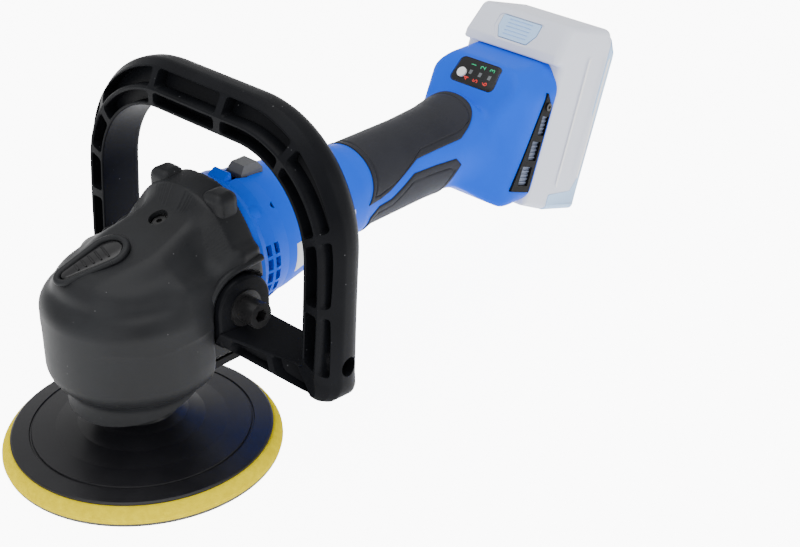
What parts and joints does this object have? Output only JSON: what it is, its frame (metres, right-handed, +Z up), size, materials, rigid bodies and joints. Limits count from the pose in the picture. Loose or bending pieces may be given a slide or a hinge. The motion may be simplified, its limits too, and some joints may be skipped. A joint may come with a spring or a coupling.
{
  "type": "dual action polisher",
  "caption": "Cordless dual action polisher: round foam pad on an eccentric drive, D-shaped front handle bolted to a rubber-booted gear head, blue body, slide-on battery.",
  "frame": {"origin": "centre of the pad's working face", "axes": "+Z up from the pad along the spindle, +X along the body towards the battery, +Y to the left of someone who looks along +X"},
  "size_m": [0.4415, 0.199, 0.1928],
  "materials": {
    "cast_aluminium": "satin",
    "boot_rubber": "matte",
    "black_plastic": "satin",
    "gloss_black": "gloss",
    "blue_plastic": "satin",
    "grip_rubber": "matte",
    "steel": "satin",
    "dark_steel": "satin",
    "gear_steel": "satin",
    "spring_steel": "gloss",
    "foam": "matte",
    "hook": "matte",
    "pad_plastic": "satin",
    "lamination": "satin",
    "copper": "satin",
    "board_green": "satin",
    "label_white": "satin",
    "slider_grey": "satin",
    "white_plastic": "satin",
    "lens_grey": "gloss",
    "pack_grey": "satin",
    "pack_blue": "satin",
    "cell_wrap": "satin"
  },
  "bodies": {
    "tool_body": {"gear_housing": "cast_aluminium", "gear_boot": "boot_rubber", "bearing_cover": "black_plastic", "cover_screws": "steel", "upper_bearing": "steel", "main_bearing": "steel", "boot_screw": "dark_steel", "handle_loop": "black_plastic", "handle_bolts": "dark_steel", "handle_washers": "dark_steel", "fan_shroud": "blue_plastic", "flange_screws": "steel", "front_bearing": "steel", "rear_bearing": "steel", "bearing_bridge": "black_plastic", "stator_core": "lamination", "stator_windings": "copper", "hall_board": "board_green", "body_left": "blue_plastic", "body_right": "blue_plastic", "body_screws": "dark_steel", "grip_top": "grip_rubber", "grip_bottom": "grip_rubber", "side_labels": "label_white", "switch_unit": "black_plastic", "control_panel": "gloss_black", "panel_lights": "lens_grey", "controller_board": "board_green", "terminal_block": "black_plastic", "vent_inserts": "black_plastic", "vent_screws": "dark_steel", "lock_spring": "spring_steel"},
    "drive": {"drive_spindle": "steel", "crown_gear": "gear_steel", "counterweight": "dark_steel", "eccentric_bearing": "steel", "spindle_clip": "spring_steel"},
    "pad": {"pad_spindle": "steel", "pad_disc": "pad_plastic", "pad_insert": "steel", "pad_foam": "foam", "pad_hook": "hook"},
    "armature": {"motor_shaft": "steel", "pinion_gear": "gear_steel", "cooling_fan": "black_plastic", "rotor_core": "lamination"},
    "lock": {"lock_button": "gloss_black", "lock_pin": "steel"},
    "switch": {"switch_slider": "slider_grey", "switch_rod": "black_plastic"},
    "speed": {"speed_button": "white_plastic"},
    "battery": {"battery_case": "pack_grey", "battery_trim": "pack_blue", "battery_cells": "cell_wrap", "battery_board": "board_green"},
    "latch": {"battery_latch": "pack_blue"}
  },
  "joints": [
    {"name": "spindle_spin", "type": "hinge", "parent": "tool_body", "child": "drive", "pos_m": [0.004, 0, 0.06], "axis": [0, 0, 1], "continuous": true},
    {"name": "pad_spin", "type": "hinge", "parent": "drive", "child": "pad", "pos_m": [0, 0, 0.03], "axis": [0, 0, 1], "continuous": true},
    {"name": "armature_spin", "type": "hinge", "parent": "tool_body", "child": "armature", "pos_m": [0.09, 0, 0.098], "axis": [1, 0, 0], "continuous": true},
    {"name": "lock_press", "type": "slide", "parent": "tool_body", "child": "lock", "axis": [0, 0, -1], "range_m": [0, 0.0034], "stiffness_N_per_m": 1500, "springref_m": -0.001, "deforming": ["lock_spring"]},
    {"name": "switch_slide", "type": "slide", "parent": "tool_body", "child": "switch", "axis": [-1, 0, 0], "range_m": [0, 0.006]},
    {"name": "speed_press", "type": "slide", "parent": "tool_body", "child": "speed", "axis": [0.7071, 0, -0.7071], "range_m": [0, 0.0006], "stiffness_N_per_m": 2500, "springref_m": -0.0004},
    {"name": "battery_slide", "type": "slide", "parent": "tool_body", "child": "battery", "axis": [0.3584, 0, 0.9336], "range_m": [0, 0.1]},
    {"name": "latch_press", "type": "slide", "parent": "battery", "child": "latch", "axis": [0.7009, 0, -0.7133], "range_m": [0, 0.0025], "stiffness_N_per_m": 1500, "springref_m": -0.001}
  ],
  "couplings": [
    {"joint": "armature_spin", "follows": "spindle_spin", "ratio": 3}
  ]
}
